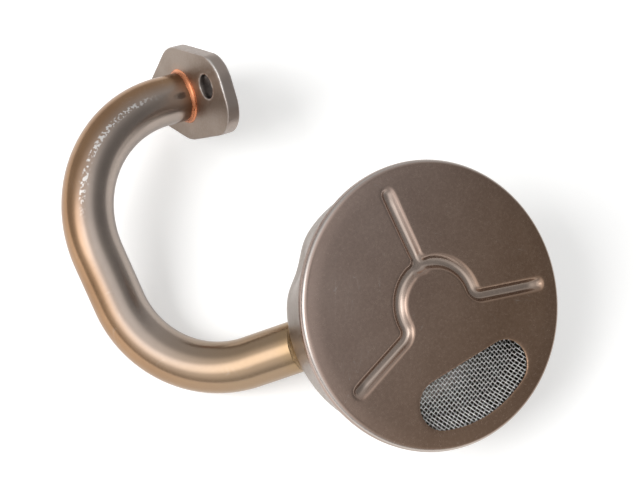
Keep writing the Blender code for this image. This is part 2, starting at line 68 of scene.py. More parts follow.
AIM_POINT = np.array([0.0, 0.0, -TUBE_AIM_DEPTH])
HEADING = np.array([-math.cos(TUBE_SLOPE), 0.0, -math.sin(TUBE_SLOPE)])
SIDEWAYS = np.array([0.0, 1.0, 0.0])
UPWARD = np.array([0.0, 0.0, 1.0])
# Each bend: the straight before it, its radius, its angle, and how far its hinge turns about the tube.
BENDS = (
    (ENTRY_LENGTH - TUBE_END_INSET, 38.7, math.radians(86.7), math.radians(90.2)),
    (18.8, 45.7, math.radians(93.8), math.radians(39.0)),
)


def turn_about(axis, angles, vector):
    """A vector turned about an axis: v cos a + (k x v) sin a + k (k.v)(1 - cos a), for each angle."""
    a = np.atleast_1d(angles)[:, None]
    along = axis * np.dot(axis, vector)
    return vector * np.cos(a) + np.cross(axis, vector) * np.sin(a) + along * (1 - np.cos(a))


def tube_route():
    """Centre line of the tube: places, headings, side vectors and the length run so far, at each station.

    A straight is point + heading t. A bend turns the last point, the heading and the side vector about a
    hinge, so the side vector never twists.
    """
    heading, side, hinge = HEADING, SIDEWAYS, SIDEWAYS
    point = AIM_POINT + heading * TUBE_END_INSET
    runs, done = [], 0.0
    for straight, radius, angle, turn in BENDS:
        t = np.linspace(0.0, straight, math.ceil(straight / TUBE_SPACING), endpoint=False)[:, None]
        runs.append((point + heading * t, heading + 0 * t, side + 0 * t, done + t))
        point, done = point + heading * straight, done + straight
        hinge = turn_about(heading, turn, hinge)[0]
        toward = np.cross(hinge, heading) * radius
        a = np.linspace(0.0, angle, math.ceil(angle * radius / TUBE_SPACING), endpoint=False)
        runs.append((point + toward - turn_about(hinge, a, toward), turn_about(hinge, a, heading),
                     turn_about(hinge, a, side), done + a[:, None] * radius))
        point = point + toward - turn_about(hinge, angle, toward)[0]
        heading, side = turn_about(hinge, angle, heading)[0], turn_about(hinge, angle, side)[0]
        done += angle * radius
    t = np.linspace(0.0, NECK_LENGTH + FLANGE_THICKNESS, NECK_STATIONS)[:, None]
    runs.append((point + heading * t, heading + 0 * t, side + 0 * t, done + t))
    return [np.vstack(parts) for parts in zip(*runs)]


def unit(vectors):
    """A vector, or each row of an array of them, divided by its length."""
    return vectors / np.linalg.norm(vectors, axis=-1, keepdims=True)


def crossed(first, second):
    """Three unit directions, as rows: the first, the normal of the pair, and the one square to both."""
    normal = unit(np.cross(first, second))
    return np.array([first, normal, np.cross(first, normal)])


route_places, route_headings, route_sides, route_run = tube_route()
mating_point, mating_normal = route_places[-1], route_headings[-1]

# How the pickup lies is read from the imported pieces. The flat face of the cover's solid gives one direction,
# and the record's mount, a point on the flange's mating face, gives the other one and the place.
BOLT_LINE_TURN = math.radians(6.6)
MOUNT_OFFSET = 13.8
FLAT_WITHIN = math.cos(math.radians(0.5))
bolt_way = unit(UPWARD - mating_normal * mating_normal[2])
bolt_way = turn_about(mating_normal, BOLT_LINE_TURN, bolt_way)[0]

cover_mesh = frame["nodes"]["bottom_cover"].data
areas = np.zeros(len(cover_mesh.polygons))
normals = np.zeros(len(cover_mesh.polygons) * 3)
cover_mesh.polygons.foreach_get("area", areas)
cover_mesh.polygons.foreach_get("normal", normals)
normals = normals.reshape(-1, 3)
face_way = normals[np.argmax(areas * (normals[:, 2] > 0.5))]
flat_face = normals @ face_way > FLAT_WITHIN
face_way = unit((normals[flat_face] * areas[flat_face, None]).sum(axis=0))

mount = frame["record"]["mounts"][0]
bench_turn = crossed(face_way, np.array(mount["axis"])).T @ crossed(UPWARD, mating_normal)
bench_shift = np.array(mount["pos_m"]) - bench_turn @ (mating_point + MOUNT_OFFSET * bolt_way) * MM


def lay(points):
    """Points of the strainer's frame laid on the bench: turned, brought to metres and shifted."""
    return np.asarray(points) @ bench_turn.T * MM + bench_shift


def grid_quads(rows, columns, closed=False):
    """Corner numbers of a grid's quads. The columns run round, and in a closed grid the rows do too."""
    r, c = (v.ravel() for v in np.meshgrid(np.arange(rows - (not closed)), np.arange(columns), indexing="ij"))
    here, below, right = r * columns, (r + 1) % rows * columns, (c + 1) % columns
    return np.stack([here + c, below + c, below + right, here + right], axis=1)


def put_in_scene(name, data):
    """A new object of the scene, made of a mesh, a lamp or a camera."""
    item = bpy.data.objects.new(name, data)
    bpy.context.scene.collection.objects.link(item)
    return item


def skin(name, points, faces, inward=False):
    """A smooth mesh object from an array of points and blocks of faces, turned about if they face inward."""
    mesh = bpy.data.meshes.new(name)
    mesh.from_pydata(lay(points).tolist(), [], [face for block in faces for face in block.tolist()])
    if inward:
        mesh.flip_normals()
    mesh.shade_smooth()
    return put_in_scene(name, mesh)


def give_marks(item, marks):
    """Keeps numbers for each point of a piece, under the names by which its material reads them."""
    for name, values in marks.items():
        item.data.attributes.new(name, "FLOAT", "POINT").data.foreach_set("value", values)


def bent_tube():
    """Outer and inner walls as rings about each station, joined at both ends into one closed skin.

    A ring is R (side cos a + up sin a), squashed inside a bend by up to 1.2 %, as half a sine wave of the
    share of the bend. At the inner end the rings lean into the mitre: the shift along the heading is minus
    (n . ring) / (n . heading), where n is square to the cut, and it fades out along the first straight.
    Gives the points, the faces and each row's share of the tube's length.
    """
    run, done, bent = route_run[:, 0], 0.0, 0.0
    for straight, radius, angle, _ in BENDS:
        start = done + straight
        done = start + radius * angle
        bent = bent + np.sin(np.clip((run - start) / (done - start), 0.0, 1.0) * math.pi)
    squash = 1 - BEND_SQUASH * bent[:, None, None]
    angle = np.linspace(0.0, 2 * math.pi, TUBE_SIDES, endpoint=False)[:, None]
    ups = np.cross(route_headings, route_sides)[:, None]
    ring = route_sides[:, None] * np.cos(angle) * squash + ups * np.sin(angle) / squash
    cut = np.array([math.sin(MITRE), 0.0, math.cos(MITRE)])
    lean = -(ring @ cut) / (route_headings @ cut)[:, None] * np.clip(1 - route_run / BENDS[0][0], 0.0, 1.0)
    ring = ring + route_headings[:, None] * lean[..., None]
    outer = route_places[:, None] + TUBE_RADIUS * ring
    inner = route_places[:, None] + (TUBE_RADIUS - TUBE_WALL) * ring
    rows = np.concatenate([outer, inner[::-1]])
    quads = grid_quads(len(rows), TUBE_SIDES, closed=True)[:, ::-1]
    return rows.reshape(-1, 3), quads, np.concatenate([run, run[::-1]]) / run[-1]


def tube_marks(points, share):
    """Three numbers for each point of the tube: its share of the length, and how far it looks outward and up.

    The last two are dot products of the direction from the centre line with another one: away from the
    middle of the whole route, and the way that the nicked side looks, as a share of the most at that station.
    """
    stations = np.vstack([route_places, route_places[::-1]])[:, None]
    ring = unit(points.reshape(len(stations), TUBE_SIDES, 3) - stations)
    outward = (ring * unit(stations - route_places.mean(axis=0))).sum(axis=2)
    crown = ring @ (bench_turn.T @ np.array(NICKED_WAY))
    crown = crown / crown.max(axis=1, keepdims=True)
    share = np.repeat(share, TUBE_SIDES)
    return {"run_share": share, "looks_outward": outward.ravel(), "looks_up": crown.ravel()}


tube_points, tube_quads, tube_share = bent_tube()
tube = skin("bent_tube", tube_points, [tube_quads])
give_marks(tube, tube_marks(tube_points, tube_share))


def new_group(name, masks, inputs=()):
    """An empty node group that puts out the named masks, and its own input and output nodes."""
    group = bpy.data.node_groups.new(name, "ShaderNodeTree")
    for socket, kind, value in inputs:
        group.interface.new_socket(socket, in_out="INPUT", socket_type=kind).default_value = value
    for socket in masks:
        group.interface.new_socket(socket, in_out="OUTPUT", socket_type="NodeSocketFloat")
    return group, group.nodes.new("NodeGroupInput"), group.nodes.new("NodeGroupOutput")


def add_node(tree, kind, inputs=(), **settings):
    """A node with its settings. Each input, by name or number, is linked to a socket or set to a value."""
    node = tree.nodes.new(kind)
    for key, value in settings.items():
        setattr(node, key, value)
    for key, value in inputs:
        if isinstance(value, bpy.types.NodeSocket):
            tree.links.new(value, node.inputs[key])
        else:
            node.inputs[key].default_value = value
    return node


def object_place(tree):
    """The point of the piece that is being shaded, in metres."""
    return add_node(tree, "ShaderNodeTexCoord").outputs["Object"]


def mark(tree, name):
    """The number that a piece keeps for each point under a name."""
    return add_node(tree, "ShaderNodeAttribute", attribute_name=name).outputs["Fac"]


def combine(tree, operation, first, *others):
    """Numbers put together by maths nodes of one kind, one after another."""
    for other in others:
        first = add_node(tree, "ShaderNodeMath", [(0, first), (1, other)], operation=operation).outputs[0]
    return first


def noise(tree, vector, scale, detail=2.0, rough=0.5):
    """A noise value between 0 and 1 on a vector."""
    values = [("Vector", vector), ("Scale", scale), ("Detail", detail), ("Roughness", rough)]
    return add_node(tree, "ShaderNodeTexNoise", values).outputs["Fac"]


def span(tree, value, low, high, to_low=0.0, to_high=1.0, ease="SMOOTHSTEP"):
    """A value stretched from one range to another, clamped, and eased at both ends unless it is linear."""
    ends = [("Value", value), ("From Min", low), ("From Max", high), ("To Min", to_low), ("To Max", to_high)]
    return add_node(tree, "ShaderNodeMapRange", ends, interpolation_type=ease).outputs["Result"]


def blend_colours(tree, mask, first, second):
    """Two colours mixed by a mask. Each may be a socket or a plain colour, and takes colour input 6 or 7."""
    first, second = (v if isinstance(v, bpy.types.NodeSocket) else (*v, 1.0) for v in (first, second))
    inputs = [("Factor", mask), (6, first), (7, second)]
    return add_node(tree, "ShaderNodeMix", inputs, data_type="RGBA").outputs[2]


# Each noise of the scale's mottle: its scale per metre, its detail and its roughness.
MOTTLE_NOISES = {"Cloud": (38.0, 4.0, 0.6), "Speckle": (900.0, 3.0, 0.65), "Grain": (2600.0, 2.0, 0.6)}


def mottle_group():
    """Scale mottle: a broad cloud, a fine speckle and a grain for the bump, all on object coordinates."""
    group, _, out = new_group("scale_mottle", MOTTLE_NOISES)
    where = object_place(group)
    for name, values in MOTTLE_NOISES.items():
        group.links.new(noise(group, where, *values), out.inputs[name])
    return group


# Each family of scratches: how its noise is stretched and shifted, and the scale of what breaks it up.
SCRATCH_FAMILIES = (
    ((1400.0, 60.0, 200.0), (0.0, 0.0, 0.4), 70.0),
    ((90.0, 1500.0, 160.0), (3.1, 1.7, 0.4), 115.0),
)
SCRATCH_SCALE = 0.55
SCRATCH_WIDTH = 0.006
SCRATCH_BREAKS = (0.60, 0.68)


def scratch_group():
    """Hair scratches: thin lines where a stretched noise crosses its middle, broken up by a second noise.

    A line's mask falls from one to zero as the noise departs from one half by the line's width. The place is
    first turned by Direction, and the larger mask of the two families counts, times Amount.
    """
    group, inlet, out = new_group("hair_scratches", ["Mask"], [
        ("Direction", "NodeSocketVector", (0.0, 0.0, 0.0)), ("Amount", "NodeSocketFloat", 0.25)])
    where = object_place(group)
    turning = [("Vector", where), ("Rotation", inlet.outputs["Direction"])]
    turned = add_node(group, "ShaderNodeVectorRotate", turning, rotation_type="EULER_XYZ").outputs[0]
    masks = []
    for stretch, shift, break_scale in SCRATCH_FAMILIES:
        placing = [("Vector", turned), ("Location", shift), ("Scale", stretch)]
        placed = add_node(group, "ShaderNodeMapping", placing)
        departure = combine(group, "SUBTRACT", noise(group, placed.outputs[0], SCRATCH_SCALE, 0.0), 0.5)
        departure = add_node(group, "ShaderNodeMath", [(0, departure)], operation="ABSOLUTE").outputs[0]
        line = span(group, departure, 0.0, SCRATCH_WIDTH, 1.0, 0.0)
        breaks = span(group, noise(group, where, break_scale, 1.0), *SCRATCH_BREAKS)
        masks.append(combine(group, "MULTIPLY", line, breaks))
    total = combine(group, "MAXIMUM", *masks)
    group.links.new(combine(group, "MULTIPLY", total, inlet.outputs["Amount"]), out.inputs["Mask"])
    return group


MOTTLE = mottle_group()
SCRATCHES = scratch_group()


def use_group(tree, group, **values):
    """The outputs of a group that is placed in a material with its own values."""
    node = tree.nodes.new("ShaderNodeGroup")
    node.node_tree = group
    for key, value in values.items():
        node.inputs[key].default_value = value
    return node.outputs


def metal(name):
    """A metal finish: its material, its node tree and the masks of the mottle placed in it."""
    material = bpy.data.materials.new(name)
    material.use_nodes = True
    material.node_tree.nodes["Principled BSDF"].inputs["Metallic"].default_value = 1.0
    return material, material.node_tree, use_group(material.node_tree, MOTTLE)


def patches(tree, mottle, first, second, low=0.3, high=0.7):
    """Two colours mixed in the mottle's broad clouds."""
    return blend_colours(tree, span(tree, mottle["Cloud"], low, high), first, second)


def feed_shader(tree, colour, mask, roughness, bump=None, edges=(0.3, 0.7)):
    """Feeds the shader a colour, a roughness that runs between two values with a mask, and a bump.

    The bump is its height, the distance that it stands for in millimetres, and its strength.
    """
    shader = tree.nodes["Principled BSDF"]
    tree.links.new(colour, shader.inputs["Base Color"])
    tree.links.new(span(tree, mask, *edges, *roughness), shader.inputs["Roughness"])
    if bump:
        values = zip(("Height", "Distance", "Strength"), (bump[0], bump[1] * MM, bump[2]))
        tree.links.new(add_node(tree, "ShaderNodeBump", values).outputs["Normal"], shader.inputs["Normal"])


TUBE_GREY = ((0.40, 0.335, 0.295), (0.46, 0.385, 0.335))
TUBE_BROWN_AND_SHADE = ((0.35, 0.205, 0.115), (0.42, 0.255, 0.145))
TUBE_ROUGHNESS = (0.20, 0.24)
OUTWARD_EDGES = (-0.10, 0.55)
# Each heat tint: the shares of the tube's length at which it starts and is full, and its colour.
HEAT_TINTS = (
    ((0.45, 0.15), (0.41, 0.290, 0.190)),
    ((0.12, 0.02), (0.43, 0.285, 0.14)),
    ((0.935, 0.975), (0.40, 0.20, 0.11)),
)
NICK_COLOUR = (0.92, 0.90, 0.88)
NICK_LINE = (0.9900, 0.9970)
NICK_SCALE = 950.0
NICK_PATCHES = (0.50, 0.58)
NICK_START = (0.62, 0.68, 0.0, 0.8)
NICK_END = (0.92, 0.84)

finish, tree, mottle = metal("tube_heat_tint_and_shade")
run_share = mark(tree, "run_share")
# The side that looks outward is brown, partly heat tint and partly painted shade.
outward = span(tree, mark(tree, "looks_outward"), *OUTWARD_EDGES)
tone = blend_colours(tree, outward, patches(tree, mottle, *TUBE_GREY), patches(tree, mottle, *TUBE_BROWN_AND_SHADE))
for edges, tint in HEAT_TINTS:
    tone = blend_colours(tree, span(tree, run_share, *edges), tone, tint)
nicks = combine(tree, "MULTIPLY", span(tree, mark(tree, "looks_up"), *NICK_LINE),
                span(tree, noise(tree, object_place(tree), NICK_SCALE), *NICK_PATCHES),
                span(tree, run_share, *NICK_START), span(tree, run_share, *NICK_END))
scratches = use_group(tree, SCRATCHES, Direction=(0.9, 0.3, 0.4), Amount=0.40)["Mask"]
tone = blend_colours(tree, combine(tree, "MAXIMUM", nicks, scratches), tone, NICK_COLOUR)
feed_shader(tree, tone, mottle["Speckle"], TUBE_ROUGHNESS)
tube.data.materials.append(finish)

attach(tube, "root")
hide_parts("pickup_tube")

# Mounting flange: a plate blanked from 5 mm steel, drilled for two bolts, with the tube brazed into its bore.
# Its edges are broken, its scale is grey-brown, copper has bled from the joint over the face, and the bolt
# holes' walls are painted dark as shade.
FLANGE_EDGE = 0.5
FLANGE_COLUMNS = 480
FACE_ROWS = 25
SIDE_ROWS = 7
BORE_RADIUS = TUBE_RADIUS + 0.12
BOLT_HALF = 21.0
BOLT_LINE = -0.9
BOLT_RADIUS = 4.6
BOLT_SIDES = 62
HOLE_CHAMFER = 0.35
DRILL_FLARE = 2.35
# The discs whose hull is the outline: their places along and across the bolt line, and their radii.
DISCS = ((0.0, BOLT_LINE, 18.6), (-BOLT_HALF, BOLT_LINE, 9.8), (BOLT_HALF, BOLT_LINE, 12.0),
         (BOLT_HALF, BOLT_LINE + 7.0, 12.0))
square_way = np.cross(mating_normal, bolt_way)
flange_middle = mating_point - mating_normal * FLANGE_THICKNESS / 2
flange_axes = np.array([bolt_way, square_way, -mating_normal])


def arc(x, z, radius, start, end, steps):
    """Rows (x, z) of an arc: centre plus radius times cosine and sine, from start to end in degrees."""
    a = np.radians(np.linspace(start, end, steps + 1))
    return np.stack([x + radius * np.cos(a), z + radius * np.sin(a)], axis=1)


def ripple(angle, size, turns, phase):
    """A gentle unevenness round a ring: sines of whole numbers of waves, each fainter than the last."""
    return size * sum(np.sin(waves * angle + phase * k) / k for k, waves in enumerate(turns, 1))


def rings(radius, angle, height):
    """Points of rings about an axis: radius times cosine, radius times sine, and height."""
    radius, angle, height = np.broadcast_arrays(radius, angle, height)
    return np.stack([radius * np.cos(angle), radius * np.sin(angle), height], axis=2).reshape(-1, 3)


def flange_reach(angle):
    """Distance from the bore's middle to the outline along each bearing.

    The outline is the hull of the discs, read off points spread along the hull's edges.
    """
    cloud = np.vstack([arc(x, y, radius, 0.0, 360.0, 240)[1:] for x, y, radius in DISCS])
    hull = cloud[convex_hull_2d(cloud.tolist())]
    share = np.linspace(0.0, 1.0, 60, endpoint=False)[None, :, None]
    edges = (hull[:, None] + (np.roll(hull, -1, axis=0) - hull)[:, None] * share).reshape(-1, 2)
    bearing = np.arctan2(edges[:, 1], edges[:, 0]) % (2 * math.pi)
    order = np.argsort(bearing)
    return np.interp(angle, bearing[order], np.hypot(*edges.T)[order], period=2 * math.pi)


def blanked_plate():
    """A closed skin around the bore: out over the back face, down the edge, in over the front, up the bore.

    Its columns are bearings about the bore. A row's radius is the bore's, plus a share of the way to the
    rounding of the edge, plus how far out the row stands on that rounding.
    """
    angle = np.linspace(0.0, 2 * math.pi, FLANGE_COLUMNS, endpoint=False)
    reach = flange_reach(angle) + ripple(angle, 0.03, (6, 17, 31), 0.4)
    half = FLANGE_THICKNESS / 2
    rounding = arc(0.0, half - FLANGE_EDGE, FLANGE_EDGE, 90.0, 0.0, 5)
    side = np.linspace(half - FLANGE_EDGE, FLANGE_EDGE - half, SIDE_ROWS + 2)[1:-1]
    edge = np.vstack([rounding, [(FLANGE_EDGE, z) for z in side], rounding[::-1] * (1.0, -1.0)])
    share = np.linspace(0.0, 1.0, FACE_ROWS, endpoint=False)
    level, bore_levels = np.full(FACE_ROWS, half), np.linspace(-half, half, 5)[1:-1]
    share = np.concatenate([share, np.ones(len(edge)), share[::-1], 0 * bore_levels])[:, None]
    out = np.concatenate([0 * level, edge[:, 0], 0 * level, 0 * bore_levels])[:, None]
    height = np.concatenate([level, edge[:, 1], -level, bore_levels])[:, None]
    radius = BORE_RADIUS + (reach - FLANGE_EDGE - BORE_RADIUS) * share + out
    points = flange_middle + rings(radius, angle, height) @ flange_axes
    return points, [grid_quads(len(share), FLANGE_COLUMNS, closed=True)]


def drill(item, start, way, levels, radii, sides):
    """Cuts a turned hole through a piece: rings of the radii at levels along a way, closed at both ends."""
    across = unit(np.cross(way, np.cross(SIDEWAYS, way)))
    angle = np.linspace(0.0, 2 * math.pi, sides, endpoint=False)
    points = rings(np.array(radii)[:, None], angle, np.array(levels)[:, None])
    points = start + points @ np.array([across, np.cross(way, across), way])
    ring = np.arange(sides)[None, :]
    faces = [grid_quads(len(levels), sides)[:, ::-1], ring[:, ::-1], ring + len(points) - sides]
    cutter = skin("cutter", points, faces)
    cut = item.modifiers.new("hole", "BOOLEAN")
    cut.operation = "DIFFERENCE"
    cut.object = cutter
    cut.solver = "EXACT"
    graph = bpy.context.evaluated_depsgraph_get()
    mesh = bpy.data.meshes.new_from_object(item.evaluated_get(graph))
    item.modifiers.clear()
    item.data = mesh
    bpy.data.objects.remove(cutter)


flange = skin("blanked_flange", *blanked_plate(), inward=True)
rim_level = FLANGE_THICKNESS / 2 - HOLE_CHAMFER
drill_levels = (-rim_level - DRILL_FLARE, -rim_level, rim_level, rim_level + DRILL_FLARE)
drill_radii = (BOLT_RADIUS + DRILL_FLARE, BOLT_RADIUS, BOLT_RADIUS, BOLT_RADIUS + DRILL_FLARE)
for sign in (1, -1):
    hole_middle = flange_middle + bolt_way * BOLT_HALF * sign + square_way * BOLT_LINE
    drill(flange, hole_middle, mating_normal, drill_levels, drill_radii, BOLT_SIDES)

WORN_INSET = 0.15
WORN_REACH = 0.38
UNWORN_GAP = 0.35
HOLE_NARROWING = 1.3
NICKED_ALONG = (24.0, 29.0)
NICKED_ACROSS = (-9.0, 1.0)
SIDE_STEP = (0.1, 0.6)
HOLE_STEP = (BOLT_RADIUS, BOLT_RADIUS + 0.25)


def smooth_step(value, low, high):
    """Zero below low, one above high, and t t t (10 - 15 t + 6 t t) between."""
    t = np.clip((value - low) / (high - low), 0.0, 1.0)
    return t * t * t * (10 - 15 * t + 6 * t * t)


def in_strainer(item):
    """The points of a piece, brought back to the strainer's frame and to millimetres."""
    where = np.zeros(len(item.data.vertices) * 3)
    item.data.vertices.foreach_get("co", where)
    return (where.reshape(-1, 3) - bench_shift) @ bench_turn / MM


def plate_marks(item):
    """Three masks for each point of the plate: the worn edges, the blanked side and painted shade on the bolt
    holes' walls.

    Wear is a bell of the distance to the outline's edge, which is bare only at the broad end's corner, or to
    a hole's edge. The others are smooth steps of the distance from the outline and from the hole's middle.
    """
    x, y, z = flange_axes @ (in_strainer(item) - flange_middle).T
    inset = flange_reach(np.arctan2(y, x)) - np.hypot(x, y)
    from_bolt = np.hypot(np.abs(x) - BOLT_HALF, y - BOLT_LINE)
    lift = np.abs(z) - FLANGE_THICKNESS / 2
    kept = 1 - smooth_step(x, *NICKED_ALONG) * smooth_step(-y, *NICKED_ACROSS)
    edge_gap = np.hypot(inset - WORN_INSET, lift + WORN_INSET) + UNWORN_GAP * kept
    hole_gap = HOLE_NARROWING * np.hypot(from_bolt - BOLT_RADIUS - HOLE_CHAMFER, lift)
    return {"worn_edge": np.exp(-(np.minimum(edge_gap, hole_gap) / WORN_REACH) ** 2),
            "blanked_side": 1 - smooth_step(inset, *SIDE_STEP),
            "hole_wall_shade": 1 - smooth_step(from_bolt, *HOLE_STEP)}


def vector_number(tree, operation, socket, vector):
    """The number that a vector maths node makes of a socket and a plain vector."""
    inputs = [(0, socket), (1, tuple(float(v) for v in vector))]
    return add_node(tree, "ShaderNodeVectorMath", inputs, operation=operation).outputs["Value"]


def near_point(tree, point, radius):
    """A mask that is one at a point of the strainer's frame and fades to zero at a radius in millimetres."""
    gap = vector_number(tree, "DISTANCE", object_place(tree), lay(point))
    return span(tree, gap, 0.0, radius * MM, 1.0, 0.0)


give_marks(flange, plate_marks(flange))

FLANGE_SCALE = ((0.24, 0.18, 0.14), (0.32, 0.255, 0.21))
FLANGE_SPECKS = (0.46, 0.40, 0.35)
FLANGE_SPECK_EDGES = (0.35, 0.75, 0.0, 0.35)
FLANGE_ROUGHNESS = (0.32, 0.46)
BLEED_COLOUR = (0.66, 0.33, 0.19)
BLEED_REACH = 14.5
BLEED_PATCHES = (0.42, 0.62, 0.25, 1.0)
BLANKED_SIDE_COLOUR = (0.44, 0.37, 0.33)
# Painted shade: the walls of the bolt holes are darkened.
HOLE_SHADE_COLOUR = (0.10, 0.08, 0.07)
WORN_EDGE_COLOUR = (0.86, 0.83, 0.80)
WEAR_SCALE = 420.0
WEAR_BREAKS = (0.35, 0.6, 0.3, 0.9)

finish, tree, mottle = metal("flange_scale")
joint = mating_point - mating_normal * FLANGE_THICKNESS
bleed = combine(tree, "MULTIPLY", near_point(tree, joint, BLEED_REACH),
                span(tree, mottle["Cloud"], *BLEED_PATCHES))
bright_marks = combine(tree, "MULTIPLY", mark(tree, "worn_edge"),
               span(tree, noise(tree, object_place(tree), WEAR_SCALE), *WEAR_BREAKS))
tone = patches(tree, mottle, *FLANGE_SCALE)
for mask, colour in (
        (span(tree, mottle["Speckle"], *FLANGE_SPECK_EDGES), FLANGE_SPECKS), (bleed, BLEED_COLOUR),
        (mark(tree, "blanked_side"), BLANKED_SIDE_COLOUR), (mark(tree, "hole_wall_shade"), HOLE_SHADE_COLOUR),
        (bright_marks, WORN_EDGE_COLOUR)):
    tone = blend_colours(tree, mask, tone, colour)
feed_shader(tree, tone, mottle["Speckle"], FLANGE_ROUGHNESS, (mottle["Grain"], 0.03, 0.4))
flange.data.materials.append(finish)

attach(flange, "root")
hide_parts("mounting_flange")

# Flange braze: copper drawn into the joint in the furnace. It leaves a bright hollow ring round the tube, a
# little uneven where it ran, with a smooth glossy face.
COPPER_WIDTH = 1.35
COPPER_HEIGHT = 1.5
COPPER_COLUMNS = 180
COPPER_CLEARANCE = 0.05
COPPER_LIFT = 0.03
COPPER_ROOT = -0.25
COPPER_TONES = ((0.56, 0.19, 0.085), (0.80, 0.34, 0.18))
COPPER_ROUGHNESS = (0.20, 0.34)


def copper_ring():
    """A hollow fillet round the tube's foot, closed by a last row that is sunk into the joint.

    Its radius stands w (1 - sin a) outside the tube and its height is h (1 - cos a), both swelling gently.
    """
    angle = np.linspace(0.0, 2 * math.pi, COPPER_COLUMNS, endpoint=False)
    a = np.linspace(math.pi / 2, 0.0, 10)[:, None]
    width = COPPER_WIDTH + ripple(angle, 0.16, (2, 5, 9), 0.7)
    height = COPPER_HEIGHT + ripple(angle, 0.20, (3, 4, 11), 1.9)
    foot = TUBE_RADIUS + COPPER_CLEARANCE
    r = np.vstack([foot + width * (1 - np.sin(a)), np.full(COPPER_COLUMNS, foot)])
    z = np.vstack([COPPER_LIFT + height * (1 - np.cos(a)), np.full(COPPER_COLUMNS, COPPER_ROOT)])
    return joint + rings(r, angle, z) @ flange_axes, [grid_quads(len(r), COPPER_COLUMNS, closed=True)]


copper = skin("copper_ring", *copper_ring(), inward=True)
finish, tree, mottle = metal("braze_copper")
tone = patches(tree, mottle, *COPPER_TONES)
feed_shader(tree, tone, mottle["Speckle"], COPPER_ROUGHNESS, (mottle["Speckle"], 0.05, 0.4))
copper.data.materials.append(finish)

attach(copper, "root")
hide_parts("flange_braze")

# Strainer housing: a cup drawn from 0.6 mm sheet with a rim flange, a slightly tapered wall and a round back.
# It carries a shallow dent beside the hole that the tube enters, and its scale is lighter than the cover's.
HOUSING_SHEET = 0.6
HOUSING_TOP = -1.6
HOUSING_FLANGE_RADIUS = 49.2
HOUSING_MOUTH_RADIUS = 47.4
HOUSING_MOUTH_BEND = 0.5
HOUSING_DEPTH = 35.2
HOUSING_TAPER = math.radians(3.5)
HOUSING_CORNER = 12.0
HOUSING_COLUMNS = 256
BACK_HOLE = 0.5
BACK_ROWS = 13
WALL_TOP = HOUSING_TOP - 1.5
DENT_BEARING = math.radians(141.0)
DENT_LEVEL = -24.0
DENT_DEPTH = 3.0
DENT_REACH = 8.5
DENT_FLATTENING = 1.15
DENT_POWER = 2.4


def cup_profile():
    """Outer line of the cup from the flange's edge to the middle of its back, as radius and height.

    It is a flat flange, a quarter round at the mouth, a straight tapered wall, an arc and a flat back.
    """
    under = HOUSING_TOP - HOUSING_SHEET
    centre_z = -HOUSING_DEPTH + HOUSING_CORNER
    wall_low = HOUSING_MOUTH_RADIUS - (under - centre_z) * math.tan(HOUSING_TAPER)
    centre_x = wall_low - HOUSING_CORNER / math.cos(HOUSING_TAPER)
    flange_radii = (HOUSING_FLANGE_RADIUS, (HOUSING_FLANGE_RADIUS + HOUSING_MOUTH_RADIUS) / 2)
    mouth = arc(HOUSING_MOUTH_RADIUS + HOUSING_MOUTH_BEND, under - HOUSING_MOUTH_BEND, HOUSING_MOUTH_BEND,
                90.0, 180.0, 4)
    corner = arc(centre_x, centre_z, HOUSING_CORNER, -math.degrees(HOUSING_TAPER), -90.0, 20)
    share = np.linspace(0.0, 1.0, 26)[1:-1, None]
    wall = mouth[-1] * (1 - share) + corner[0] * share
    back = [(r, -HOUSING_DEPTH) for r in np.linspace(corner[-1, 0], BACK_HOLE, BACK_ROWS + 1)[1:]]
    return np.vstack([[(r, under) for r in flange_radii], mouth, wall, corner, back])


def fan(rim, tip):
    """Triangles from a tip to each side of a closed rim."""
    return np.stack([np.full(len(rim), tip), rim, np.roll(rim, -1)], axis=1)


def drawn_cup():
    """The cup's outer skin turned about the axis, its wall pressed in by a rounded dent.

    The dent is its depth times a bell of the distance from its middle, measured on the wall.
    """
    profile = cup_profile()
    angle = np.linspace(0.0, 2 * math.pi, HOUSING_COLUMNS, endpoint=False)
    r, z = profile[:, :1], profile[:, 1:]
    gap = np.hypot((angle - DENT_BEARING) * HOUSING_MOUTH_RADIUS, (z - DENT_LEVEL) * DENT_FLATTENING)
    dent = DENT_DEPTH * np.exp(-(gap / DENT_REACH) ** DENT_POWER)
    r = r + (z < WALL_TOP) * (ripple(angle, 0.06, (2, 5), 0.6) - dent)
    points = np.vstack([rings(r, angle, z), [[0.0, 0.0, -HOUSING_DEPTH]]])
    last_ring = np.arange(HOUSING_COLUMNS) + (len(profile) - 1) * HOUSING_COLUMNS
    return points, [grid_quads(len(profile), HOUSING_COLUMNS), fan(last_ring[::-1], len(points) - 1)]


def give_sheet(item, thickness):
    """Gives a surface the thickness of its sheet, inward from its outer side."""
    wall = item.modifiers.new("sheet", "SOLIDIFY")
    wall.thickness = thickness * MM
    wall.offset = -1.0
    wall.use_even_offset = False


HOLE_LEVELS = (10.0, 70.0)
HOLE_RADIUS = TUBE_RADIUS + 0.15
housing = skin("drawn_housing", *drawn_cup())
give_sheet(housing, HOUSING_SHEET)
drill(housing, AIM_POINT, HEADING, HOLE_LEVELS, (HOLE_RADIUS, HOLE_RADIUS), TUBE_SIDES)

HOUSING_SCALE = ((0.40, 0.345, 0.305), (0.50, 0.44, 0.40))
HOUSING_ROUGHNESS = (0.28, 0.40)
HEAT_POINT = AIM_POINT + HEADING * 52.0
HEAT_REACH = 19.0
HEAT_COLOUR = (0.50, 0.35, 0.19)
HOUSING_BRIGHT = (0.85, 0.82, 0.78)

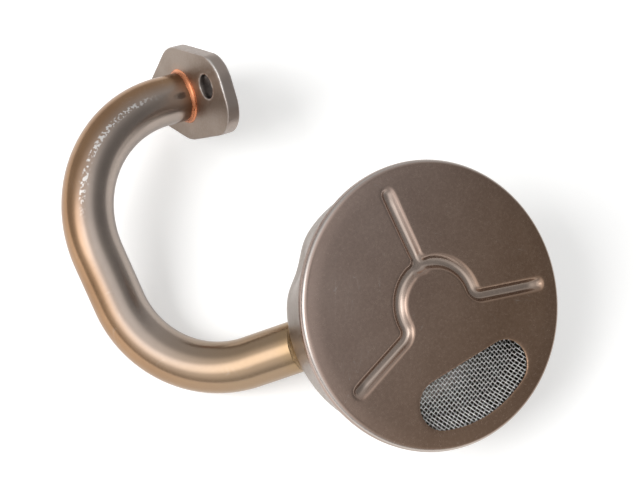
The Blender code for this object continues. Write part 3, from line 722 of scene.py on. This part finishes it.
finish, tree, mottle = metal("housing_scale")
tone = blend_colours(tree, near_point(tree, HEAT_POINT, HEAT_REACH), patches(tree, mottle, *HOUSING_SCALE),
                     HEAT_COLOUR)
scratches = use_group(tree, SCRATCHES, Direction=(0.5, 0.1, 1.3), Amount=0.25)["Mask"]
tone = blend_colours(tree, scratches, tone, HOUSING_BRIGHT)
feed_shader(tree, tone, mottle["Speckle"], HOUSING_ROUGHNESS, (mottle["Grain"], 0.02, 0.3))
housing.data.materials.append(finish)

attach(housing, "root")
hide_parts("strainer_housing")

# Housing braze: a thin golden-brown fillet run into the corner between the tube and the cup. It follows the
# line where the two meet, and its section is a hollow triangle.
BRAZE_LEG = 1.9
BRAZE_SIDES = 160
BRAZE_CLEARANCE = 0.05
BRAZE_HOLLOW = 0.30
FOOT_LIFT = 0.12
TOE_LIFT = 0.02
SUNK_BACK = 0.4
SUNK_OUT = 0.2
HALVINGS = 30
BRAZE_TONES = ((0.20, 0.13, 0.07), (0.40, 0.27, 0.14))
BRAZE_ROUGHNESS = (0.28, 0.42)


def leaving_points(out, offset):
    """Where lines that run along the tube, at an offset outside its skin, leave the cup, found by halving."""
    profile = cup_profile()[::-1]
    start = AIM_POINT + out * (TUBE_RADIUS + offset)
    low, high = np.zeros((BRAZE_SIDES, 1)), np.full((BRAZE_SIDES, 1), ENTRY_LENGTH)
    for _ in range(HALVINGS):
        middle = (low + high) / 2
        x, y, z = (start + HEADING * middle).T
        inside = (np.hypot(x, y) < np.interp(z, profile[:, 1], profile[:, 0]))[:, None]
        low, high = np.where(inside, middle, low), np.where(inside, high, middle)
    return start + HEADING * low


def cup_fillet():
    """A hollow fillet along the line where the tube's skin leaves the cup.

    The fillet's face is the curve (1-t)(1-t) p + 2 t (1-t) q + t t s from p on the tube to s on the cup, and
    q pulls it in towards their corner. A last row, sunk into the corner, closes it.
    """
    angle = np.linspace(0.0, 2 * math.pi, BRAZE_SIDES, endpoint=False)[:, None]
    out = SIDEWAYS * np.cos(angle) + np.cross(HEADING, SIDEWAYS) * np.sin(angle)
    leg = BRAZE_LEG + ripple(angle, 0.16, (3, 5, 11), 1.1)
    corner = leaving_points(out, BRAZE_CLEARANCE)
    foot = leaving_points(out, leg) + HEADING * FOOT_LIFT
    toe = corner + HEADING * leg + out * TOE_LIFT
    heart = corner + BRAZE_HOLLOW * ((toe - corner) + (foot - corner))
    t = np.linspace(0.0, 1.0, 9)[:, None]
    face = (1 - t) ** 2 * toe[:, None] + 2 * t * (1 - t) * heart[:, None] + t ** 2 * foot[:, None]
    sunk = corner - HEADING * SUNK_BACK + out * SUNK_OUT
    section = np.concatenate([face, sunk[:, None]], axis=1)
    return section.reshape(-1, 3), [grid_quads(BRAZE_SIDES, section.shape[1], closed=True)]


housing_braze = skin("cup_fillet", *cup_fillet(), inward=True)
finish, tree, mottle = metal("golden_braze")
tone = blend_colours(tree, span(tree, mottle["Speckle"], 0.3, 0.7), *BRAZE_TONES)
feed_shader(tree, tone, mottle["Cloud"], BRAZE_ROUGHNESS, (mottle["Speckle"], 0.08, 0.5))
housing_braze.data.materials.append(finish)

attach(housing_braze, "root")
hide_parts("housing_braze")

# Wire screen: plain-woven bright steel wire, about twenty meshes to the inch, dished into the housing and
# clamped under the cover's rim. Its two families of wires pass over and under each other. Each is one piece.
WIRE_RADIUS = 0.19
WIRE_PITCH = 1.30
WIRE_SIDES = 6
# Each wander of a wire from its straight line: its size, its length and its phase from wire to wire.
WIRE_WANDERS = ((0.07, 7.0, 1.3), (0.04, 2.9, 2.1))
SCREEN_TURN = math.radians(28.5)
SCREEN_RADIUS = 48.4
SCREEN_FLAT_EDGE = 45.4
SCREEN_SLOPE_WIDTH = 8.0
SCREEN_RIM_HEIGHT = -1.1
SCREEN_DISH = 4.2
WIRE_TONES = ((0.80, 0.79, 0.77), (0.92, 0.92, 0.91))
WIRE_ROUGHNESS = (0.26, 0.40)


def turned_flat(points, angle):
    """Points of a plane turned about its origin: x cos a - y sin a, and x sin a + y cos a."""
    c, s = math.cos(angle), math.sin(angle)
    return points @ np.array([[c, s], [-s, c]])


def clean(points, faces):
    """Drops the points that no face uses and renumbers the faces."""
    used = np.zeros(len(points), bool)
    for block in faces:
        used[block.ravel()] = True
    number = np.cumsum(used) - 1
    return points[used], [number[block] for block in faces]


def woven_wires(crossways):
    """One family of wires: the dish's height plus the wire's radius times (-1) to the crossing's number.

    A wire has a station at each crossing and one half way between, where it passes the middle of the weave.
    Its ring of points stands square to the slope, and the wires are cut off at the screen's edge.
    """
    half = math.ceil(SCREEN_RADIUS / WIRE_PITCH)
    w, s = np.meshgrid(np.arange(-half, half + 1), np.arange(-2 * half, 2 * half + 1), indexing="ij")
    along = s * WIRE_PITCH / 2
    across = w * WIRE_PITCH + sum(size * np.sin(along / run + phase * w) for size, run, phase in WIRE_WANDERS)
    over = np.where(s % 2 == 0, np.where((s // 2 + w) % 2 == 0, 1.0, -1.0), 0.0)
    if crossways:
        over = -over
    radius = np.hypot(along, across)
    ease = np.clip((SCREEN_FLAT_EDGE - radius) / SCREEN_SLOPE_WIDTH, 0.0, 1.0)
    ease = ease * ease * (3 - 2 * ease)
    height = SCREEN_RIM_HEIGHT - SCREEN_DISH * ease + WIRE_RADIUS * over
    slope = np.gradient(height, WIRE_PITCH / 2, axis=1)
    tilt = 1 / np.sqrt(1 + slope ** 2)
    turn = np.linspace(0.0, 2 * math.pi, WIRE_SIDES, endpoint=False)
    lift, out = WIRE_RADIUS * np.sin(turn), WIRE_RADIUS * np.cos(turn)
    x = along[..., None] - lift * (slope * tilt)[..., None]
    y = across[..., None] + out
    z = height[..., None] + lift * tilt[..., None]
    if crossways:
        x, y = -y, x
    flat = turned_flat(np.stack([x.ravel(), y.ravel()], axis=1), SCREEN_TURN)
    kept = radius < SCREEN_RADIUS
    both = kept[:, :-1] & kept[:, 1:]
    number = np.arange(kept.size).reshape(kept.shape)
    ring = np.arange(WIRE_SIDES)
    start = number[:, :-1][both][:, None] * WIRE_SIDES
    base, right = start + ring, start + np.roll(ring, -1)
    quads = np.stack([base, right, right + WIRE_SIDES, base + WIRE_SIDES], axis=2).reshape(-1, 4)
    held = both.any(axis=1)
    first = (number[:, 0] + both.argmax(axis=1))[held][:, None] * WIRE_SIDES
    last = (number[:, -1] - both[:, ::-1].argmax(axis=1))[held][:, None] * WIRE_SIDES
    return clean(np.column_stack([flat, z.ravel()]), [quads, first + ring[::-1], last + ring])


warp = skin("screen_warp_wires", *woven_wires(False))
weft = skin("screen_weft_wires", *woven_wires(True))

finish, tree, mottle = metal("bright_wire")
feed_shader(tree, patches(tree, mottle, *WIRE_TONES, 0.35, 0.65), mottle["Speckle"], WIRE_ROUGHNESS)
for family in (warp, weft):
    family.data.materials.append(finish)
    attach(family, "root")
    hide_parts("wire_screen")

# Bottom cover: a disc pressed from 0.6 mm sheet with a brown satin scale. Three stiffening grooves meet in a
# part ring round its middle, a window is pierced beside it, and the rim is rolled over the housing's flange.
COVER_RADIUS = 50.4
COVER_SHEET = 0.6
COVER_CORNER = 1.8
COVER_BOTTOM = -3.7
COVER_COLUMNS = 430
COVER_RINGS = 84
COVER_MIDDLE = 0.6
LIP_RADIUS = 47.7
SIDE_TOP = -2.0
CROWN_RADIUS = 42.5
CROWN_END = COVER_RADIUS + 3.0
CROWN_DROP = 0.30
GROOVE_DEPTH = 1.9
GROOVE_FLOOR = 0.5
GROOVE_REACH = 3.05
GROOVE_BLEND = 3.0
RING_RADIUS = 14.7
RING_FILLET = 4.2
ARM_END = 41.5
ARM_FADE = (ARM_END - 4.0, ARM_END + 2.0)
ARM_SHALLOWING = 0.35
MIDDLE_ARM = math.radians(95.5)
ARM_SPREAD = math.radians(107.0)
WINDOW_OUTER = 43.1
WINDOW_WIDTH = 20.6
WINDOW_END = 8.7
WINDOW_ROLL = 0.16
WINDOW_ROLL_REACH = 0.5
WINDOW_SNAP = (-1.5, 0.12)
SHEET_WAVE = 0.03


def line_distance(points, line):
    """Least distance from each point to a chain of segments: to a + (b - a) t, t the clipped projection."""
    a, b = line[:-1], line[1:]
    step = b - a
    t = np.einsum("psk,sk->ps", points[:, None, :] - a, step) / (step ** 2).sum(axis=1)
    foot = a + np.clip(t, 0.0, 1.0)[..., None] * step
    return np.sqrt(((points[:, None, :] - foot) ** 2).sum(axis=2)).min(axis=1)


def groove_chains():
    """The two lines that the groove follows: arm, fillet, ring, fillet and arm in one, and the middle arm.

    A fillet's centre is where it touches both the ring and the arm, at the sum of the two radii.
    """
    side = math.pi / 2 - ARM_SPREAD
    lead = math.asin(RING_FILLET / (RING_RADIUS + RING_FILLET))
    start = side + lead
    centre = (RING_RADIUS + RING_FILLET) * np.array([math.cos(start), math.sin(start)])
    degrees = math.degrees(start)
    corner = arc(*centre, RING_FILLET, degrees - math.degrees(lead) - 90.0, degrees - 180.0, 10)
    half_ring = arc(0.0, 0.0, RING_RADIUS, degrees, 90.0, 24)
    tip = ARM_END * np.array([[math.cos(side), math.sin(side)]])
    half = np.vstack([tip, corner, half_ring[1:]])
    both = np.vstack([half, half[-2::-1] * (-1.0, 1.0)])
    middle = np.array([[0.0, ARM_END], [0.0, RING_RADIUS]])
    return [turned_flat(chain, MIDDLE_ARM - math.pi / 2) for chain in (both, middle)]


def groove_height(points):
    """Height of the pressed face: minus the depth times one minus a smooth step of the distance to the lines.

    The two distances are blended with a soft minimum, which rounds the corners where the arms meet the ring,
    and the groove grows shallower over the last few millimetres of each arm.
    """
    first, second = (line_distance(points, chain) for chain in groove_chains())
    share = np.clip(0.5 + 0.5 * (second - first) / GROOVE_BLEND, 0.0, 1.0)
    gap = second * (1 - share) + first * share - GROOVE_BLEND / 2 * share * (1 - share)
    depth = GROOVE_DEPTH * (1 - ARM_SHALLOWING * smooth_step(np.hypot(*points.T), *ARM_FADE))
    return -depth * (1 - smooth_step(gap, GROOVE_FLOOR, GROOVE_REACH))


def window_gap(points):
    """Distance outward from the window's edge, and the nearest point of that edge.

    The window is a segment of a circle, grown all round by the radius of its ends. The nearest point of the
    segment lies on its arc or on its chord, whichever is closer, and the edge is one end's radius from there.
    """
    local = turned_flat(points, -MIDDLE_ARM - math.pi)
    reach = WINDOW_OUTER - WINDOW_END
    chord = WINDOW_OUTER - WINDOW_WIDTH + WINDOW_END
    half = math.sqrt(reach ** 2 - chord ** 2)
    corner = math.atan2(half, chord)
    bearing = np.clip(np.arctan2(local[:, 1], local[:, 0]), -corner, corner)
    on_arc = reach * np.stack([np.cos(bearing), np.sin(bearing)], axis=1)
    on_chord = np.stack([np.full(len(local), chord), np.clip(local[:, 1], -half, half)], axis=1)
    to_arc, to_chord = (np.linalg.norm(local - near, axis=1) for near in (on_arc, on_chord))
    near = np.where((to_arc < to_chord)[:, None], on_arc, on_chord)
    inside = (local[:, 0] > chord) & (np.hypot(*local.T) < reach)
    away = local - near
    length = np.maximum(np.linalg.norm(away, axis=1), 1e-9)
    edge = turned_flat(near + away / length[:, None] * WINDOW_END, MIDDLE_ARM + math.pi)
    return np.where(inside, -WINDOW_END - length, length - WINDOW_END), edge


def pressed_cover():
    """The cover's outer skin: a polar grid of the face, and then rings down the corner, the side and the lip.

    The face's height is the groove, less a smooth drop towards the rim and a fading roll at the window's
    edge, plus a faint wave. Points by the window's edge are moved onto it, and what lies inside is open.
    """
    angle = np.linspace(0.0, 2 * math.pi, COVER_COLUMNS, endpoint=False)
    radii = np.linspace(COVER_MIDDLE, COVER_RADIUS - COVER_CORNER, COVER_RINGS)
    flat = rings(radii[:, None], angle, 0.0)[:, :2]
    away, edge = window_gap(flat)
    in_window = away < WINDOW_SNAP[1]
    moved = in_window & (away > WINDOW_SNAP[0])
    flat[moved] = edge[moved]
    height = groove_height(flat) - CROWN_DROP * smooth_step(np.hypot(*flat.T), CROWN_RADIUS, CROWN_END)
    height -= WINDOW_ROLL * np.exp(-np.maximum(away, 0.0) / WINDOW_ROLL_REACH)
    height += SHEET_WAVE * np.sin(flat[:, 0] / 9.0 + 1.0) * np.cos(flat[:, 1] / 11.0)
    drop = height[-COVER_COLUMNS:].mean()
    corner = arc(COVER_RADIUS - COVER_CORNER, drop - COVER_CORNER, COVER_CORNER, 84.0, 0.0, 9)
    lip = arc(COVER_RADIUS - COVER_SHEET, COVER_BOTTOM + COVER_SHEET, COVER_SHEET, 0.0, -90.0, 5)
    under = np.array([[(COVER_RADIUS + LIP_RADIUS) / 2, COVER_BOTTOM], [LIP_RADIUS, COVER_BOTTOM]])
    rim = np.vstack([corner, lip, under])
    rim_radius = rim[:, :1] + ripple(angle, 0.04, (3, 7, 16), 0.8) * (rim[:, 1:] < SIDE_TOP)
    points = np.vstack([np.column_stack([flat, height]), rings(rim_radius, angle, rim[:, 1:]),
                        [[0.0, 0.0, height[:COVER_COLUMNS].mean()]]])
    quads = grid_quads(COVER_RINGS + len(rim), COVER_COLUMNS)
    open_side = np.zeros(len(points), bool)
    open_side[:len(flat)] = in_window
    quads = quads[~open_side[quads].all(axis=1)]
    return clean(points, [quads, fan(np.arange(COVER_COLUMNS), len(points) - 1)])


# Painted highlight on the rolled corner: a bell about a circle of this radius and level.
RIM_HIGHLIGHT_RADIUS = 49.7
RIM_HIGHLIGHT_LEVEL = -0.8
RIM_HIGHLIGHT_REACH = 0.5


def cover_marks(item):
    """Two masks for each point of the cover: a painted highlight on the rim and a painted highlight in the
    pressed groove.

    The rim's highlight is a bell of the distance from a circle on the rolled corner. The groove's is the
    groove's depth there as a share of its full depth.
    """
    local = in_strainer(item)
    gap = np.hypot(np.hypot(local[:, 0], local[:, 1]) - RIM_HIGHLIGHT_RADIUS, local[:, 2] - RIM_HIGHLIGHT_LEVEL)
    return {"rim_highlight": np.exp(-(gap / RIM_HIGHLIGHT_REACH) ** 2),
            "groove_highlight": -groove_height(local[:, :2]) / GROOVE_DEPTH}


def across_way(tree, way, low, high):
    """A mask that rises along a bench direction, between two distances from the strainer's middle."""
    start = float(bench_shift @ np.array(way))
    along = vector_number(tree, "DOT_PRODUCT", object_place(tree), way)
    return span(tree, along, start + low * MM, start + high * MM)


cover = skin("pressed_cover", *pressed_cover())
give_marks(cover, cover_marks(cover))
give_sheet(cover, COVER_SHEET)

# The purple-grey scale is a painted reflection, lighter on one side and fading to the plain brown along a
# bench direction. The groove and the rolled corner are painted lighter as highlights; the scratches are real.
PAINTED_SHEEN_SCALE = ((0.42, 0.315, 0.272), (0.47, 0.36, 0.312))
BROWN_SCALE = ((0.31, 0.195, 0.130), (0.37, 0.240, 0.165))
SHEEN_FADE_WAY = (0.60, -0.80, 0.0)
SHEEN_FADE_EDGES = (-50.0, 34.0)
COVER_SPECKS = (0.50, 0.38, 0.31)
COVER_SPECK_EDGES = (0.35, 0.75, 0.0, 0.18)
# Painted highlight: the pressed groove is lightened by its depth.
GROOVE_HIGHLIGHT_COLOUR = (0.62, 0.54, 0.48)
GROOVE_HIGHLIGHT_SHARE = 0.5
COVER_BRIGHT = (0.80, 0.77, 0.74)
RIM_HIGHLIGHT_SHARE = 0.7
COVER_ROUGHNESS = (0.19, 0.28)

finish, tree, mottle = metal("cover_scale")
scratches = use_group(tree, SCRATCHES, Direction=(0.2, 0.4, 0.7), Amount=0.275)["Mask"]
# The rolled corner's painted highlight joins the real scratches.
bright_marks = combine(tree, "MAXIMUM", combine(tree, "MULTIPLY", mark(tree, "rim_highlight"), RIM_HIGHLIGHT_SHARE), scratches)
tone = patches(tree, mottle, *PAINTED_SHEEN_SCALE)
for mask, colour in (
        (across_way(tree, SHEEN_FADE_WAY, *SHEEN_FADE_EDGES), patches(tree, mottle, *BROWN_SCALE)),
        (span(tree, mottle["Speckle"], *COVER_SPECK_EDGES), COVER_SPECKS),
        (combine(tree, "MULTIPLY", mark(tree, "groove_highlight"), GROOVE_HIGHLIGHT_SHARE), GROOVE_HIGHLIGHT_COLOUR),
        (bright_marks, COVER_BRIGHT)):
    tone = blend_colours(tree, mask, tone, colour)
feed_shader(tree, tone, mottle["Speckle"], COVER_ROUGHNESS, (mottle["Grain"], 0.012, 0.3), (0.25, 0.75))
cover.data.materials.append(finish)

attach(cover, "root")
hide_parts("bottom_cover")

# Studio: a plain pale floor in a white room, with one large soft lamp on the left and a weaker one on the
# right. In polished metal the room shows as a grey that darkens to one side, with two soft bright patches up
# on the left, and the lamps don't show. The camera looks down on the pickup as in the photograph.
FLOOR_HALF = 4.0
FLOOR_GLOW = 0.35
FLOOR_GLOSS_SHARE = 0.35
DIFFUSE_LEVEL = 0.45
# Each bright patch of the room: its direction, the cosines where it starts and is full, and its brightness.
BRIGHT_PATCHES = (
    ((-0.423, -0.216, 0.880), 0.52, 0.90, 0.58),
    ((-0.632, -0.045, 0.774), 0.90, 0.985, 1.5),
)
DARK_WAY = (0.78, -0.45, 0.43)
DARK_EDGES = (0.78, 1.0, 0.50, 0.22)
LAMP_AIM = (0.0, 0.0, 0.03)
CAMERA_PLACE = (-158.93, 59.81, 302.53)
CAMERA_AIM = (-33.04, 35.76, 0.0)
CAMERA_UP = (0.3452, 0.936, 0.0692)
FOCAL_PIXELS = 1000.0
FRAME_PIXELS = 640.0
SENSOR_WIDTH = 36.0


def ray_kinds(tree):
    """Light Path's outputs, and a number that is one for rays from the camera or through glass."""
    rays = add_node(tree, "ShaderNodeLightPath").outputs
    return rays, combine(tree, "MAXIMUM", rays["Is Camera Ray"], rays["Is Transmission Ray"])


floor_mesh = bpy.data.meshes.new("floor")
corners = [(x * FLOOR_HALF, y * FLOOR_HALF, 0.0) for x, y in ((-1, -1), (1, -1), (1, 1), (-1, 1))]
floor_mesh.from_pydata(corners, [], [(0, 1, 2, 3)])
floor = put_in_scene("floor", floor_mesh)
floor_finish = bpy.data.materials.new("pale_floor")
floor_finish.use_nodes = True
tree = floor_finish.node_tree
shader = tree.nodes["Principled BSDF"]
shader.inputs["Base Color"].default_value = (0.86, 0.86, 0.855, 1.0)
shader.inputs["Roughness"].default_value = 0.9
shader.inputs["Specular IOR Level"].default_value = 0.0
shader.inputs["Emission Color"].default_value = (1.0, 1.0, 0.99, 1.0)
rays, seen = ray_kinds(tree)
seen = combine(tree, "MAXIMUM", seen, combine(tree, "MULTIPLY", rays["Is Glossy Ray"], FLOOR_GLOSS_SHARE))
tree.links.new(combine(tree, "MULTIPLY", seen, FLOOR_GLOW), shader.inputs["Emission Strength"])
floor_mesh.materials.append(floor_finish)

world = bpy.data.worlds.new("studio")
world.use_nodes = True
bpy.context.scene.world = world
tree = world.node_tree
rays, seen = ray_kinds(tree)
way = add_node(tree, "ShaderNodeTexCoord").outputs["Generated"]
gloss = span(tree, vector_number(tree, "DOT_PRODUCT", way, DARK_WAY), *DARK_EDGES, ease="LINEAR")
for patch_way, low, high, brightness in BRIGHT_PATCHES:
    facing = vector_number(tree, "DOT_PRODUCT", way, patch_way)
    gloss = combine(tree, "ADD", gloss, span(tree, facing, low, high, 0.0, brightness))
gloss = combine(tree, "MULTIPLY", rays["Is Glossy Ray"], gloss)
diffuse = combine(tree, "MULTIPLY", rays["Is Diffuse Ray"], DIFFUSE_LEVEL)
room = tree.nodes["Background"]
room.inputs["Color"].default_value = (1.0, 1.0, 1.0, 1.0)
tree.links.new(combine(tree, "MAXIMUM", gloss, seen, diffuse), room.inputs["Strength"])


def soft_lamp(name, place, size, power):
    """A rectangular soft lamp over the bench, in metres, its Z turned to run from its aim to its place."""
    lamp = bpy.data.lights.new(name, "AREA")
    lamp.shape = "RECTANGLE"
    lamp.size, lamp.size_y = size
    lamp.energy = power
    item = put_in_scene(name, lamp)
    item.rotation_euler = Vector(np.subtract(place, LAMP_AIM)).to_track_quat("Z", "Y").to_euler()
    item.location = place
    item.visible_glossy = False


soft_lamp("left_softbox", (-0.58, 0.06, 0.54), (0.46, 0.50), 6.0)
soft_lamp("right_fill", (0.55, 0.42, 0.50), (0.40, 0.40), 0.9)

camera_place = lay(CAMERA_PLACE)
back = unit(camera_place - lay(CAMERA_AIM))
right = unit(np.cross(bench_turn @ np.array(CAMERA_UP), back))
turned = Matrix(np.array([right, np.cross(back, right), back]).T.tolist()).to_4x4()
turned.translation = camera_place.tolist()
camera_data = bpy.data.cameras.new("camera")
camera_data.sensor_width = SENSOR_WIDTH
camera_data.lens = FOCAL_PIXELS / FRAME_PIXELS * SENSOR_WIDTH
camera_data.clip_start = 0.01
camera_data.dof.use_dof = False
camera = put_in_scene("camera", camera_data)
camera.matrix_world = turned
bpy.context.scene.camera = camera
bpy.context.scene.view_settings.view_transform = "Standard"
